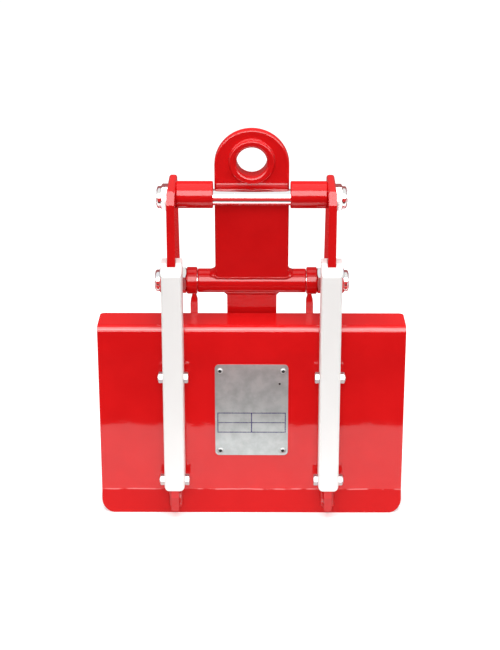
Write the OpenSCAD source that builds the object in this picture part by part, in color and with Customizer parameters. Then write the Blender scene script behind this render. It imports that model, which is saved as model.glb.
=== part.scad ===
// Plate lifting clamp, in millimetres, standing on its two jaws with its front towards -Y.
// The front jaw is a bent plate with two upright arms. A lifting eye tilts on a shaft between the arms.
// The rear jaw hangs on four parallel links, so that it closes forwards as it drops.

/* [Front plate] */
// Width of the front plate
plate_w = 310; // [240:1:400]
// Thickness of the front plate
plate_t = 6; // [4:0.5:6.5]
// Height of the flange's upper face
flange_z = 201.8; // [190:0.2:260]
// Depth of the flange, from the plate's front face to the rear edge
flange_d = 42; // [38:1:60]
// Outer radius of the bend between plate and flange
bend_r = 7; // [7:0.5:12]
// Height of the flared lip
lip_h = 23; // [14:1:36]
// Distance the lip reaches forwards
lip_run = 8; // [3:0.5:12]
// Radius of the lip's lower corners
lip_corner_r = 14; // [4:1:20]
// Radius of the flange's rear corners
flange_corner_r = 5; // [1:0.5:12]

/* [Arms] */
// Clear width between the two arms
arm_span = 148.6; // [146:0.2:180]
// Thickness of an arm
arm_t = 8; // [6:0.5:12]
// Depth of the arm's rib in front of the plate
rib_d = 22; // [18:1:30]
// Height of the rib's foot
rib_foot = 8; // [2:0.5:12]
// Height of the arm's top above the top rod's axis
arm_rise = 16.8; // [12:0.2:24]
// Distance of the arm's upper rear corner behind the top rod's axis
arm_tail = 23; // [16:1:30]
// Depth of the chamfer on the arm's upper front corner
nose_run = 5; // [1:0.5:10]
// Height of the same chamfer
nose_drop = 13; // [4:0.5:20]
// Radius of the rounded corners across an arm's top and foot
arm_edge_r = 2.8; // [0.5:0.1:2.9]
// Radius of the arm's round end about the pivot
boss_r = 26; // [20:0.5:30]

/* [Arm covers] */
// Width of a cover
cover_w = 20.4; // [17:0.2:26]
// Thickness of the cover in front of the arm
cover_front = 6; // [4:0.5:10]
// Gap between the cover's walls and the plate
cover_stand = 3; // [1:0.5:8]
// Height of the cover's lower end
cover_z = 33.7; // [26:0.1:34]
// Height of the cover's upper end above the flange
cover_rise = 73.2; // [50:0.2:90]
// Depth of the chamfer at the cover's upper end
cover_slope_run = 8; // [3:0.5:14]
// Height of the same chamfer
cover_slope_drop = 12; // [4:0.5:20]
// Radius of the cover's long front edges
cover_edge_r = 3; // [1:0.5:4]
// Radius of the cover's lower corners
cover_foot_r = 5; // [1:0.5:6]
// Diameter of the cover bolts
cover_bolt_d = 6; // [5:0.5:8]
// Distance of the cover bolts in front of the plate
cover_bolt_fore = 14; // [11:0.5:16]
// Height of the lower cover bolts
cover_bolt_z = 40.3; // [40:0.1:60]
// Distance between lower and upper cover bolts
cover_bolt_pitch = 112.7; // [80:0.1:140]

/* [Top rod] */
// Diameter of the top rod
rod_d = 16; // [12:0.5:18]
// Height of the top rod's axis above the pivot
rod_rise = 95.8; // [80:0.2:120]
// Distance of the top rod's axis in front of the pivot
rod_fore = 28; // [22:0.5:34]
// Outer diameter of the spacer tubes
spacer_od = 26.9; // [24:0.1:32]
// Inner diameter of the spacer tubes, on whose lower side the top rod lies
spacer_bore_d = 21.6; // [19:0.1:22]
// Gap between the eye plate's sides and the spacer tubes
spacer_gap = 1.2; // [0.5:0.1:6]

/* [Lifting eye] */
// Width of the eye plate
eye_w = 74; // [60:0.5:84]
// Thickness of the eye plate
eye_t = 9; // [7:0.5:12]
// Distance of the eye plate's middle plane in front of the pivot
eye_fore = 5.4; // [0:0.1:5.5]
// Radius of the eye plate's long edges
eye_edge_r = 2; // [0.5:0.5:3]
// Gap between the eye ring's rim and the top rod in front of it
eye_gap = 4.7; // [1:0.1:20]
// Distance of the crown's centre below the eye
crown_drop = 5; // [0:0.5:8]
// Inner diameter of the eye
ring_bore_d = 30.2; // [25:0.1:36]
// Outer diameter of the eye ring
ring_od = 44.6; // [42:0.2:53]
// Length of the eye ring
ring_len = 20; // [18:0.5:30]
// Radius of the eye ring's mouths
ring_rim_r = 3.5; // [1:0.1:4.8]
// Radius of the eye ring's outer edges
ring_edge_r = 1.4; // [0.5:0.1:2]
// Width of the neck below the pivot
neck_w = 50.6; // [30:0.2:70]
// Thickness of the neck
neck_t = 8; // [5:0.5:9]
// Distance from the pivot to the neck's lower end
neck_reach = 44; // [40:0.5:50]
// Gap between the eye plate and the top rod it leans on
rest_gap = 0.3; // [0.2:0.05:1]

/* [Pivot] */
// Height of the pivot axis above the flange
pivot_rise = 32.6; // [30:0.2:45]
// Distance of the pivot axis behind the flange
pivot_back = 8; // [7:0.5:14]
// Diameter of the pivot shaft
shaft_d = 16; // [14:0.5:16.5]
// Outer diameter of the pivot tube
tube_od = 24.5; // [23:0.1:27]
// Inner diameter of the pivot tube
tube_bore_d = 20; // [18.5:0.1:21]
// Chamfer on the ends of the tube, the collars and the spacer tubes
tube_edge = 0.8; // [0.3:0.1:1.2]
// Length of a pivot bush
bush_len = 20; // [12:1:30]
// Outer diameter of the pivot collars
collar_od = 27.6; // [24:0.1:32]
// Length of a pivot collar
collar_len = 10.6; // [9:0.2:16]
// Thickness of a hanger
hanger_t = 7; // [4:0.5:9]
// Thickness of the ridge at a hanger's upper end
hanger_ridge = 2.8; // [1:0.1:4]
// Height over which a hanger thins to its ridge
hanger_taper = 8; // [3:0.5:10]
// Depth of a hanger, from front to back
hanger_d = 14; // [10:0.5:18]

/* [Large nuts] */
// Width across flats of the large nuts
hex_af = 24; // [22:0.5:27]
// Height of the lock nuts on the pivot shaft
pivot_nut_h = 16; // [10:0.5:20]
// Height of the lock nuts on the top rod
top_nut_h = 11.1; // [8:0.1:16]
// Height of the thin nuts inside the arms
thin_nut_h = 8; // [5:0.5:12]
// Diameter of a lock nut's round collar
lock_collar_d = 22; // [19:0.5:24]
// Height of a lock nut's round collar
lock_collar_h = 4.2; // [2:0.1:6]

/* [Cover bolts and nuts] */
// Width across flats of the cover bolts and nuts
small_hex_af = 10; // [9:0.5:11]
// Height of the cover bolts' heads
small_head_h = 4.6; // [3:0.1:6]
// Height of the cover nuts
small_nut_h = 4.8; // [4:0.1:8]

/* [Rating plate] */
// Width of the rating plate
rating_w = 74.3; // [50:0.1:110]
// Height of the rating plate
rating_h = 99.5; // [70:0.5:110]
// Thickness of the rating plate
rating_t = 1; // [0.5:0.1:2]
// Height of the rating plate's lower edge
rating_z = 62; // [40:0.5:70]
// Radius of the rating plate's corners
rating_corner_r = 4; // [1:0.5:8]
// Diameter of a rivet's head
rivet_head_d = 6.4; // [5.5:0.1:8]
// Height of a rivet's head
rivet_head_h = 1.6; // [1:0.1:2.5]
// Diameter of a rivet's shank
rivet_d = 4; // [3:0.1:4.5]
// Distance of the rivets from the rating plate's sides
rivet_side = 5.2; // [4.5:0.1:9]
// Distance of the upper rivets from the rating plate's top
rivet_top = 6.5; // [4.5:0.1:12]
// Distance of the lower rivets from the rating plate's lower edge
rivet_low = 5.4; // [4.5:0.1:12]

/* [Rear jaw and links] */
// Clear gap between the two pads with the jaws open
jaw_gap = 20; // [19.5:0.5:30]
// Thickness of a rubber pad
pad_t = 6; // [3:0.5:7]
// Height of the pads' lower edge above the lip's bend
pad_lift = 1; // [0.5:0.5:10]
// Distance of a pad's ends from the sides of its plate
pad_side = 6; // [2:0.5:20]
// Thickness of the rear plate
rear_t = 6; // [4:0.5:8]
// Thickness of a lug
lug_t = 8; // [6:0.5:10]
// Distance between a lug's inner face and the middle of the clamp
lug_x = 44; // [34:0.5:46]
// Distance of the lug pins behind the front plate
lug_reach = 18; // [16:0.5:20]
// Distance between the upper and lower pins
link_pitch = 44; // [42:0.5:52]
// Length of a link between its pins
link_len = 50; // [44:0.5:60]
// Slope of the open links, measured from the vertical
link_slope = 70; // [66:1:76]
// Thickness of a link
link_t = 8; // [5:0.5:9]
// Thickness of a rear rib
rear_rib_t = 8; // [5:0.5:10]
// Radius of the round ends of links, lugs and rear ribs
eye_end_r = 11; // [9:0.5:12]
// Diameter of the link pins
pin_d = 12; // [8:0.5:14]
// Diameter of a pin's head
pin_head_d = 18; // [15:0.5:20]
// Height of a pin's head
pin_head_h = 4; // [2:0.5:5]
// Outer diameter of a pin's clip
clip_od = 19; // [16:0.5:21]
// Thickness of a pin's clip
clip_t = 1.8; // [1:0.1:2]

/* [Clearances] */
// Radial clearance of a shaft or pin that turns in its hole
run_gap = 0.05; // [0.02:0.01:0.1]
// Radial clearance of a shank in a hole that doesn't turn on it
hole_gap = 0.2; // [0.05:0.05:0.5]
// Gap between pieces that are welded, pressed or bonded together
weld_gap = 0.02; // [0.01:0.01:0.05]
// Gap between the flat sides of links and their neighbours
side_gap = 0.3; // [0.2:0.05:0.6]
// Gap between the ends of the pivot tube and the collars
end_gap = 0.5; // [0.3:0.1:1]
// Length of a shaft, bolt or pin that stands out past its nut or clip
end_stand = 0.7; // [0.3:0.1:2]

/* [Hidden] */
$fn = 64;
paint = [0.80, 0.04, 0.05];
steel = [0.78, 0.79, 0.80];
plastic = [0.93, 0.93, 0.91];
rubber = [0.10, 0.10, 0.10];
bronze = [0.70, 0.50, 0.25];
// Length by which cuts run past the faces they open
over = 1;
// Angle of the chamfer on hexagons, and the share of their width across flats that it leaves flat
hex_chamfer = 30;
hex_face = 0.95;
// Turn of a hexagon that points a corner up, or lays a flat on top
corner_up = 0;
flat_up = 30;
// Largest share of the eye ring's wall that the radius of its rims takes
rim_share = 0.49;

arm_in = arm_span / 2;
arm_out = arm_in + arm_t;
arm_mid = arm_in + arm_t / 2;
pivot_y = flange_d + pivot_back;
pivot_z = flange_z + pivot_rise;
rod_y = pivot_y - rod_fore;
rod_z = pivot_z + rod_rise;
arm_top = rod_z + arm_rise;
spacer_lift = (spacer_bore_d - rod_d) / 2 - hole_gap;
crown_r = eye_w / 2;

// Forward lean of the lever, at which the eye plate comes to rest against the top rod
rod_reach = norm([rod_fore, rod_rise]);
rod_off = eye_fore + eye_t / 2 + rod_d / 2 + rest_gap;
lean = atan2(rod_fore, rod_rise) - asin(rod_off / rod_reach);

// Distance from the pivot to the eye, which clears the top rod at the ring's front
rod_along = sqrt(rod_reach * rod_reach - rod_off * rod_off);
rim_off = rod_off - eye_fore - ring_len / 2;
rod_crest = sqrt(max(0, rod_d * rod_d / 4 - rim_off * rim_off));
eye_reach = rod_along + rod_crest + eye_gap + ring_od / 2;

spacer_len = arm_in - eye_w / 2 - spacer_gap;
collar_out = arm_in - thin_nut_h;
collar_in = collar_out - collar_len;
tube_len = 2 * (collar_in - end_gap);
hanger_low = flange_z - plate_t;

cover_bolt_zs = [cover_bolt_z, cover_bolt_z + cover_bolt_pitch];
cover_out = arm_mid + cover_w / 2;
cover_in = arm_mid - cover_w / 2;
cover_top = flange_z + cover_rise;

rating_top = rating_z + rating_h;
rivet_x = rating_w / 2 - rivet_side;
rivet_spots = [for (x = [-rivet_x, rivet_x], z = [rating_z + rivet_low, rating_top - rivet_top]) [x, z]];

// Pins of the four links, as distances back and up: two on the front jaw's lugs, two on the rear ribs
lug_pin_high = [plate_t + lug_reach, flange_z - bend_r - eye_end_r];
lug_pin_low = lug_pin_high - [0, link_pitch];
link_step = link_len * [sin(link_slope), -cos(link_slope)];
jaw_pin_high = lug_pin_high + link_step;
jaw_pin_low = lug_pin_low + link_step;
link_in = lug_x + lug_t + side_gap;
link_out = link_in + link_t;
rear_rib_in = link_out + side_gap;
rear_rib_out = rear_rib_in + rear_rib_t;

pad_foot = lip_h + pad_lift;
pad_top = lug_pin_low[1] - 2 * eye_end_r;
rear_y = plate_t + 2 * pad_t + jaw_gap;
rear_back = rear_y + rear_t;

// The clamp is centred from front to back on the ground
front_reach = rib_d + cover_front;
rear_reach = max(jaw_pin_high[0] + eye_end_r, pivot_y + boss_r, rear_back + lip_run);
depth_mid = (rear_reach - front_reach) / 2;

// Point where a line from p touches the circle of radius r about c; side is 1 or -1
function touch_point(c, r, p, side) =
    let (d = p - c, turn = atan2(d[1], d[0]) + side * acos(r / norm(d))) c + r * [cos(turn), sin(turn)];

// Depth of the lip's front face at height z
function lip_face(z) = -lip_run * (1 - z / lip_h);

// Moves the clamp from the front plate's face to the middle of its depth
module in_frame() {
    translate([0, -depth_mid, 0]) children();
}

// Draws a piece on the right and its mirror image on the left
module both_sides() {
    children();
    mirror([1, 0, 0]) children();
}

// Extrudes a side view, drawn as (back, up), from x0 over the width w
module side_view(x0, w) {
    translate([x0, 0, 0]) rotate([90, 0, 90]) linear_extrude(w) children();
}

// Extrudes a front view, drawn as (right, up), from y0 over the depth d
module front_view(y0, d) {
    translate([0, y0 + d, 0]) rotate([90, 0, 0]) linear_extrude(d) children();
}

// Places a shape drawn along +Z so that it runs along +X from x0, at the point p = (back, up)
module along_x(x0, p) {
    translate([x0, p[0], p[1]]) rotate([0, 90, 0]) children();
}

module round_bar(d, h) {
    cylinder(d = d, h = h);
}

module round_tube(od, id, h) {
    difference() {
        cylinder(d = od, h = h);
        translate([0, 0, -over]) cylinder(d = id, h = h + 2 * over);
    }
}

// Hexagonal prism with its outer end chamfered, drawn from z = 0 to h
module hex_prism(af, h, turn) {
    face = af * hex_face;
    intersection() {
        rotate(turn) cylinder(d = af / cos(30), h = h, $fn = 6);
        cylinder(d1 = face + 2 * h / tan(hex_chamfer), d2 = face, h = h);
    }
}

module hex_nut(af, h, bore, turn) {
    difference() {
        hex_prism(af, h, turn);
        translate([0, 0, -over]) cylinder(d = bore, h = h + 2 * over);
    }
}

// Lock nut: a hexagon with a round collar at its outer end, whose rim is rounded
module lock_nut(af, h, collar_d, collar_h, bore, turn) {
    rim = collar_h / 2;
    difference() {
        union() {
            hex_prism(af, h - collar_h, turn);
            rotate_extrude() {
                square([collar_d / 2, h - rim]);
                square([collar_d / 2 - rim, h]);
                translate([collar_d / 2 - rim, h - rim]) circle(rim);
            }
        }
        translate([0, 0, -over]) cylinder(d = bore, h = h + 2 * over);
    }
}

// Tube with the outer edges of both ends chamfered
module edged_tube(od, id, h) {
    rotate_extrude()
        polygon([[id / 2, 0], [od / 2 - tube_edge, 0], [od / 2, tube_edge], [od / 2, h - tube_edge],
                 [od / 2 - tube_edge, h], [id / 2, h]]);
}

// Rectangle of w by h about the origin with all its corners rounded
module round_rect(w, h, r) {
    square([w - 2 * r, h], center = true);
    square([w, h - 2 * r], center = true);
    for (x = [-1, 1], z = [-1, 1])
        translate([x * (w / 2 - r), z * (h / 2 - r)]) circle(r);
}

// Rectangle centred on the axis, with its two corners at the bottom rounded
module round_foot(w, h, r) {
    translate([-w / 2, r]) square([w, h - r]);
    translate([-w / 2 + r, 0]) square([w - 2 * r, h]);
    for (x = [-1, 1])
        translate([x * (w / 2 - r), r]) circle(r);
}

// Rectangle from (y0, z0) to (y1, z1) with its upper front corner rounded
module round_brow(y0, z0, y1, z1, r) {
    translate([y0, z0]) square([y1 - y0, z1 - z0 - r]);
    translate([y0 + r, z0]) square([y1 - y0 - r, z1 - z0]);
    translate([y0 + r, z1 - r]) circle(r);
}

// Front plate: flared lip, wall, bend and flange in one side view
module front_plate_side() {
    bend = [bend_r, flange_z - bend_r];
    difference() {
        polygon([[-lip_run, 0], [0, lip_h], [0, flange_z], [flange_d, flange_z], [flange_d, lip_h],
                 [plate_t, lip_h], [plate_t - lip_run, 0]]);
        round_brow(plate_t, lip_h - over, flange_d + over, flange_z - plate_t, bend_r - plate_t);
        difference() {
            translate(bend - [bend_r + over, 0]) square(bend_r + over);
            translate(bend) circle(bend_r);
        }
    }
}

module front_plate() {
    color(paint) in_frame() difference() {
        intersection() {
            side_view(-plate_w / 2, plate_w) front_plate_side();
            front_view(-lip_run - over, flange_d + lip_run + 2 * over)
                round_foot(plate_w, flange_z + over, lip_corner_r);
            translate([0, flange_d, -over]) mirror([0, 1, 0]) linear_extrude(flange_z + 2 * over)
                round_foot(plate_w, flange_d + lip_run + over, flange_corner_r);
        }
        for (s = rivet_spots)
            translate([s[0], plate_t + over, s[1]]) rotate([90, 0, 0])
                cylinder(d = rivet_d + 2 * hole_gap, h = plate_t + 2 * over);
    }
}

// Arm: a rib in front of the plate that widens above the flange into a cheek about the pivot
module arm_side() {
    pivot = [pivot_y, pivot_z];
    tail = [rod_y + arm_tail, arm_top];
    seat = [flange_d, flange_z];
    polygon([[-rib_d, rib_foot], [lip_face(rib_foot), rib_foot], [0, lip_h], [0, flange_z], seat,
             touch_point(pivot, boss_r, seat, 1), pivot, touch_point(pivot, boss_r, tail, -1), tail,
             [nose_run - rib_d, arm_top], [-rib_d, arm_top - nose_drop]]);
    translate(pivot) circle(boss_r);
}

module arm() {
    arm_back = max(flange_d, pivot_y + boss_r, rod_y + arm_tail);
    difference() {
        intersection() {
            side_view(arm_in - over, arm_t + 2 * over) arm_side();
            front_view(-rib_d - over, rib_d + arm_back + 2 * over)
                translate([arm_mid, (rib_foot + arm_top) / 2])
                    round_rect(arm_t, arm_top - rib_foot, arm_edge_r);
        }
        along_x(arm_in - over, [pivot_y, pivot_z]) round_bar(shaft_d + 2 * hole_gap, arm_t + 2 * over);
        along_x(arm_in - over, [rod_y, rod_z]) round_bar(rod_d + 2 * hole_gap, arm_t + 2 * over);
        for (z = cover_bolt_zs)
            along_x(arm_in - over, [-cover_bolt_fore, z])
                round_bar(cover_bolt_d + 2 * hole_gap, arm_t + 2 * over);
    }
}

module right_arm() {
    color(paint) in_frame() arm();
}

module left_arm() {
    color(paint) in_frame() mirror([1, 0, 0]) arm();
}

module front_pad() {
    color(rubber) in_frame() front_view(plate_t, pad_t)
        translate([-plate_w / 2 + pad_side, pad_foot]) square([plate_w - 2 * pad_side, pad_top - pad_foot]);
}

// Cover: a U-shaped strip over the arm's front edge, sloped at its upper end
module cover() {
    depth = front_reach - cover_stand;
    slope_z = cover_top - cover_slope_drop;
    difference() {
        intersection() {
            translate([arm_mid, -front_reach, cover_z]) linear_extrude(cover_top - cover_z)
                round_foot(cover_w, depth, cover_edge_r);
            front_view(-front_reach - over, depth + 2 * over)
                translate([arm_mid, cover_z]) round_foot(cover_w, cover_top - cover_z, cover_foot_r);
        }
        translate([arm_in - hole_gap, -rib_d - hole_gap, cover_z - over])
            cube([arm_t + 2 * hole_gap, rib_d, cover_top - cover_z + 2 * over]);
        side_view(cover_in - over, cover_w + 2 * over)
            polygon([[-front_reach - over, cover_top + over], [-front_reach - over, slope_z],
                     [-front_reach, slope_z], [cover_slope_run - front_reach, cover_top],
                     [cover_slope_run - front_reach, cover_top + over]]);
        for (z = cover_bolt_zs)
            along_x(cover_in - over, [-cover_bolt_fore, z])
                round_bar(cover_bolt_d + 2 * hole_gap, cover_w + 2 * over);
    }
}

module right_cover() {
    color(plastic) in_frame() cover();
}

module left_cover() {
    color(plastic) in_frame() mirror([1, 0, 0]) cover();
}

// Bolts with their heads inside the arms, and nuts outside
module cover_bolts() {
    shank = cover_w + small_nut_h + end_stand;
    color(steel) in_frame() both_sides() for (z = cover_bolt_zs) {
        along_x(cover_in, [-cover_bolt_fore, z]) mirror([0, 0, 1])
            hex_prism(small_hex_af, small_head_h, flat_up);
        along_x(cover_in - over, [-cover_bolt_fore, z]) round_bar(cover_bolt_d, shank + over);
    }
}

module cover_nuts() {
    color(steel) in_frame() both_sides() for (z = cover_bolt_zs)
        along_x(cover_out, [-cover_bolt_fore, z])
            hex_nut(small_hex_af, small_nut_h, cover_bolt_d + 2 * weld_gap, flat_up);
}

// Top rod through both arms, for a nut at each end
module top_rod() {
    rod_end = arm_out + top_nut_h + end_stand;
    color(steel) in_frame() along_x(-rod_end, [rod_y, rod_z]) round_bar(rod_d, 2 * rod_end);
}

module spacer() {
    along_x(arm_in - spacer_len, [rod_y, rod_z + spacer_lift])
        edged_tube(spacer_od, spacer_bore_d, spacer_len);
}

module right_spacer() {
    color(paint) in_frame() spacer();
}

module left_spacer() {
    color(paint) in_frame() mirror([1, 0, 0]) spacer();
}

module top_nuts() {
    color(steel) in_frame() both_sides() along_x(arm_out, [rod_y, rod_z])
        lock_nut(hex_af, top_nut_h, lock_collar_d, lock_collar_h, rod_d + 2 * weld_gap, flat_up);
}

module pivot_shaft() {
    shaft_end = arm_out + pivot_nut_h + end_stand;
    color(steel) in_frame() along_x(-shaft_end, [pivot_y, pivot_z]) round_bar(shaft_d, 2 * shaft_end);
}

module pivot_collars() {
    color(paint) in_frame() both_sides() along_x(collar_in, [pivot_y, pivot_z])
        edged_tube(collar_od, shaft_d + 2 * hole_gap, collar_len);
}

// Hanger: a strip from the flange's rear edge up to the collar, thinned to a ridge at the collar
module hanger() {
    middle = collar_in + hanger_t / 2;
    collar_foot = pivot_z - collar_od / 2;
    shoulder = collar_foot - hanger_taper;
    difference() {
        intersection() {
            side_view(collar_in, hanger_t)
                translate([flange_d, hanger_low]) square([hanger_d, pivot_z - hanger_low]);
            front_view(flange_d - over, hanger_d + 2 * over)
                polygon([[collar_in, hanger_low], [collar_in + hanger_t, hanger_low],
                         [collar_in + hanger_t, shoulder], [middle + hanger_ridge / 2, collar_foot],
                         [middle + hanger_ridge / 2, pivot_z], [middle - hanger_ridge / 2, pivot_z],
                         [middle - hanger_ridge / 2, collar_foot], [collar_in, shoulder]]);
        }
        along_x(collar_in - over, [pivot_y, pivot_z])
            round_bar(collar_od + 2 * weld_gap, hanger_t + 2 * over);
    }
}

module right_hanger() {
    color(paint) in_frame() hanger();
}

module left_hanger() {
    color(paint) in_frame() mirror([1, 0, 0]) hanger();
}

module pivot_nuts() {
    color(steel) in_frame() both_sides() along_x(arm_out, [pivot_y, pivot_z])
        lock_nut(hex_af, pivot_nut_h, lock_collar_d, lock_collar_h, shaft_d + 2 * weld_gap, corner_up);
}

module pivot_thin_nuts() {
    color(steel) in_frame() both_sides() along_x(arm_in, [pivot_y, pivot_z]) mirror([0, 0, 1])
        hex_nut(hex_af, thin_nut_h, shaft_d + 2 * weld_gap, corner_up);
}

module rating_plate() {
    color(steel) in_frame() difference() {
        front_view(-rating_t, rating_t)
            translate([0, rating_z + rating_h / 2]) round_rect(rating_w, rating_h, rating_corner_r);
        for (s = rivet_spots)
            translate([s[0], over, s[1]]) rotate([90, 0, 0])
                cylinder(d = rivet_d + 2 * hole_gap, h = rating_t + 2 * over);
    }
}

// Blind rivets: a low domed head with the mouth of its core hole, and a shank through both plates
module plate_rivets() {
    core = rivet_d / 2;
    dome_r = (rivet_head_d * rivet_head_d / 4 + rivet_head_h * rivet_head_h) / (2 * rivet_head_h);
    color(steel) in_frame() for (s = rivet_spots)
        translate([s[0], -rating_t, s[1]]) rotate([90, 0, 0]) difference() {
            union() {
                intersection() {
                    translate([0, 0, rivet_head_h - dome_r]) sphere(dome_r);
                    cylinder(d = rivet_head_d + over, h = rivet_head_h);
                }
                translate([0, 0, -plate_t]) cylinder(d = rivet_d, h = plate_t + over);
            }
            translate([0, 0, rivet_head_h / 2]) cylinder(d = core, h = rivet_head_h);
        }
}

// Lug behind the front plate, with rounded corners about the pins of an upper and a lower link
module lug_side() {
    foot = lug_pin_low[1] - eye_end_r;
    translate([plate_t, foot]) square([lug_reach, link_pitch + 2 * eye_end_r]);
    translate([plate_t, lug_pin_low[1]]) square([lug_reach + eye_end_r, link_pitch]);
    for (p = [lug_pin_high, lug_pin_low])
        translate(p) circle(eye_end_r);
}

module lug() {
    difference() {
        side_view(lug_x, lug_t) lug_side();
        for (p = [lug_pin_high, lug_pin_low])
            along_x(lug_x - over, p) round_bar(pin_d + 2 * run_gap, lug_t + 2 * over);
    }
}

module right_lug() {
    color(paint) in_frame() lug();
}

module left_lug() {
    color(paint) in_frame() mirror([1, 0, 0]) lug();
}

// Pins with their heads inside the lugs, and clips outside the links
module lug_pins() {
    tip = link_out + side_gap + clip_t + end_stand;
    color(steel) in_frame() both_sides() for (p = [lug_pin_high, lug_pin_low]) {
        along_x(lug_x - pin_head_h, p) round_bar(pin_head_d, pin_head_h);
        along_x(lug_x - over, p) round_bar(pin_d, tip - lug_x + over);
    }
}

module lug_clips() {
    color(steel) in_frame() both_sides() for (p = [lug_pin_high, lug_pin_low])
        along_x(link_out + side_gap, p) round_tube(clip_od, pin_d + 2 * weld_gap, clip_t);
}

// Eye lever: drawn upright about the pivot and leant against the top rod
module in_lever() {
    in_frame() translate([0, pivot_y, pivot_z]) rotate([lean, 0, 0]) children();
}

// Eye plate: a strip with rounded edges and a crown turned from the same section, seated on the pivot tube
module eye_plate() {
    crown_z = eye_reach - crown_drop;
    color(paint) in_lever() difference() {
        translate([0, -eye_fore, 0]) {
            linear_extrude(crown_z) round_rect(eye_w, eye_t, eye_edge_r);
            translate([0, 0, crown_z]) rotate([90, 0, 0]) rotate_extrude() intersection() {
                round_rect(eye_w, eye_t, eye_edge_r);
                translate([0, -eye_t / 2]) square([crown_r, eye_t]);
            }
        }
        along_x(-eye_w / 2 - over, [0, 0]) round_bar(tube_od + 2 * weld_gap, eye_w + 2 * over);
        translate([0, eye_t / 2 + over - eye_fore, eye_reach]) rotate([90, 0, 0])
            cylinder(d = ring_od + 2 * weld_gap, h = eye_t + 2 * over);
    }
}

// Eye ring: a sleeve through the eye plate with wide rounded mouths and small outer edges
module eye_ring() {
    wall = (ring_od - ring_bore_d) / 2;
    rim = min(ring_rim_r, rim_share * wall);
    color(paint) in_lever() translate([0, -eye_fore, eye_reach]) rotate([90, 0, 0]) rotate_extrude()
        translate([ring_bore_d / 2, 0]) hull() for (end = [-1, 1]) {
            translate([rim, end * (ring_len / 2 - rim)]) circle(rim);
            translate([wall - ring_edge_r, end * (ring_len / 2 - ring_edge_r)]) circle(ring_edge_r);
        }
}

module pivot_tube() {
    color(paint) in_lever() along_x(-tube_len / 2, [0, 0]) edged_tube(tube_od, tube_bore_d, tube_len);
}

module neck() {
    color(paint) in_lever() difference() {
        front_view(-neck_t / 2, neck_t)
            translate([-neck_w / 2, -neck_reach]) square([neck_w, neck_reach]);
        along_x(-neck_w / 2 - over, [0, 0]) round_bar(tube_od + 2 * weld_gap, neck_w + 2 * over);
    }
}

module pivot_bushes() {
    color(bronze) in_lever() both_sides() along_x(tube_len / 2 - bush_len, [0, 0])
        round_tube(tube_bore_d - 2 * weld_gap, shaft_d + 2 * run_gap, bush_len);
}

// Link: a flat bar with round ends, from a lug pin to a jaw pin
module link(from) {
    half = eye_end_r * [cos(link_slope), sin(link_slope)];
    difference() {
        side_view(link_in, link_t) {
            polygon([from + half, from - half, from + link_step - half, from + link_step + half]);
            translate(from) circle(eye_end_r);
            translate(from + link_step) circle(eye_end_r);
        }
        for (p = [from, from + link_step])
            along_x(link_in - over, p) round_bar(pin_d + 2 * run_gap, link_t + 2 * over);
    }
}

module right_upper_link() {
    color(paint) in_frame() link(lug_pin_high);
}

module left_upper_link() {
    color(paint) in_frame() mirror([1, 0, 0]) link(lug_pin_high);
}

module right_lower_link() {
    color(paint) in_frame() link(lug_pin_low);
}

module left_lower_link() {
    color(paint) in_frame() mirror([1, 0, 0]) link(lug_pin_low);
}

// Rear plate: a flat wall with its lip flared backwards
module rear_plate() {
    color(paint) in_frame() intersection() {
        side_view(-plate_w / 2, plate_w)
            polygon([[rear_y + lip_run, 0], [rear_y, lip_h], [rear_y, pad_top], [rear_back, pad_top],
                     [rear_back, lip_h], [rear_back + lip_run, 0]]);
        front_view(rear_y - over, rear_t + lip_run + 2 * over)
            round_foot(plate_w, pad_top + over, lip_corner_r);
    }
}

module rear_pad() {
    color(rubber) in_frame() front_view(rear_y - pad_t, pad_t)
        translate([-plate_w / 2 + pad_side, pad_foot]) square([plate_w - 2 * pad_side, pad_top - pad_foot]);
}

// Rear rib: stiffens the rear plate and carries the jaw pins behind it
module rear_rib_side() {
    spine = jaw_pin_low[0] + eye_end_r;
    waist = jaw_pin_low[0] - eye_end_r;
    polygon([[rear_back, pad_foot], [waist, pad_foot], [spine, jaw_pin_low[1]], [spine, jaw_pin_high[1]],
             [waist, jaw_pin_high[1]], [waist, pad_top], [rear_back, pad_top]]);
    translate(jaw_pin_high) circle(eye_end_r);
}

module rear_rib() {
    difference() {
        side_view(rear_rib_in, rear_rib_t) rear_rib_side();
        for (p = [jaw_pin_high, jaw_pin_low])
            along_x(rear_rib_in - over, p) round_bar(pin_d + 2 * run_gap, rear_rib_t + 2 * over);
    }
}

module right_rear_rib() {
    color(paint) in_frame() rear_rib();
}

module left_rear_rib() {
    color(paint) in_frame() mirror([1, 0, 0]) rear_rib();
}

// Pins with their heads outside the rear ribs, and clips inside the links
module jaw_pins() {
    tip = link_in - side_gap - clip_t - end_stand;
    color(steel) in_frame() both_sides() for (p = [jaw_pin_high, jaw_pin_low]) {
        along_x(rear_rib_out, p) round_bar(pin_head_d, pin_head_h);
        along_x(tip, p) round_bar(pin_d, rear_rib_out - tip + over);
    }
}

module jaw_clips() {
    color(steel) in_frame() both_sides() for (p = [jaw_pin_high, jaw_pin_low])
        along_x(link_in - side_gap - clip_t, p) round_tube(clip_od, pin_d + 2 * weld_gap, clip_t);
}

front_plate();
left_arm();
right_arm();
front_pad();
left_cover();
right_cover();
cover_bolts();
cover_nuts();
top_rod();
left_spacer();
right_spacer();
top_nuts();
pivot_shaft();
pivot_collars();
left_hanger();
right_hanger();
pivot_nuts();
pivot_thin_nuts();
rating_plate();
plate_rivets();
left_lug();
right_lug();
lug_pins();
lug_clips();
eye_plate();
eye_ring();
pivot_tube();
neck();
pivot_bushes();
left_upper_link();
right_upper_link();
left_lower_link();
right_lower_link();
rear_plate();
rear_pad();
left_rear_rib();
right_rear_rib();
jaw_pins();
jaw_clips();
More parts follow.
